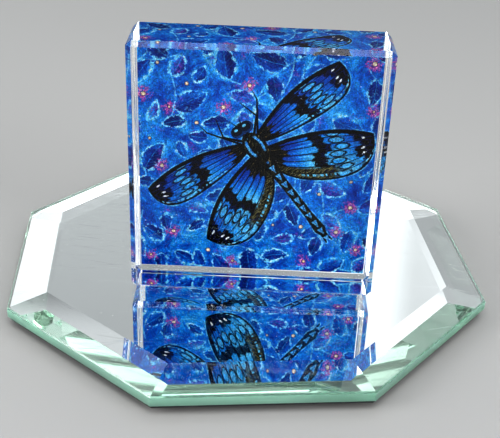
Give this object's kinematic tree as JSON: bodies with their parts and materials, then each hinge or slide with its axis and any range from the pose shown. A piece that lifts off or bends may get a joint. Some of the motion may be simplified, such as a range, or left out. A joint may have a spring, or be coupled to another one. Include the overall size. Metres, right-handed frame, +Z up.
{
  "type": "glass picture block on a bevelled mirror plate",
  "caption": "Clear chamfered glass block with a blue picture on its back, standing on an octagonal bevelled mirror plate; a free-standing table ornament.",
  "frame": {"origin": "on the surface that the pads stand on, below the middle of the octagonal plate", "axes": "+Z up; the block's picture faces -Y; +X to the right of someone who looks at the picture; the plate is turned 6 degrees about +Z"},
  "size_m": [0.1578, 0.1578, 0.0903],
  "materials": {
    "block_glass": "clear optical glass, polished on every face and chamfer",
    "picture": "painted picture in deep blue, azure and black with small violet and gold accents; plain off-white back",
    "plate_glass": "float glass with a green edge, polished bevel",
    "silvering": "silvered face against the glass, dark matte protective film below",
    "pad_rubber": "matte black rubber"
  },
  "bodies": {
    "root": {"crystal_block": "block_glass", "picture_panel": "picture", "mirror_glass": "plate_glass", "mirror_backing": "silvering", "pad_front_left": "pad_rubber", "pad_front_right": "pad_rubber", "pad_back_left": "pad_rubber", "pad_back_right": "pad_rubber"}
  },
  "joints": []
}
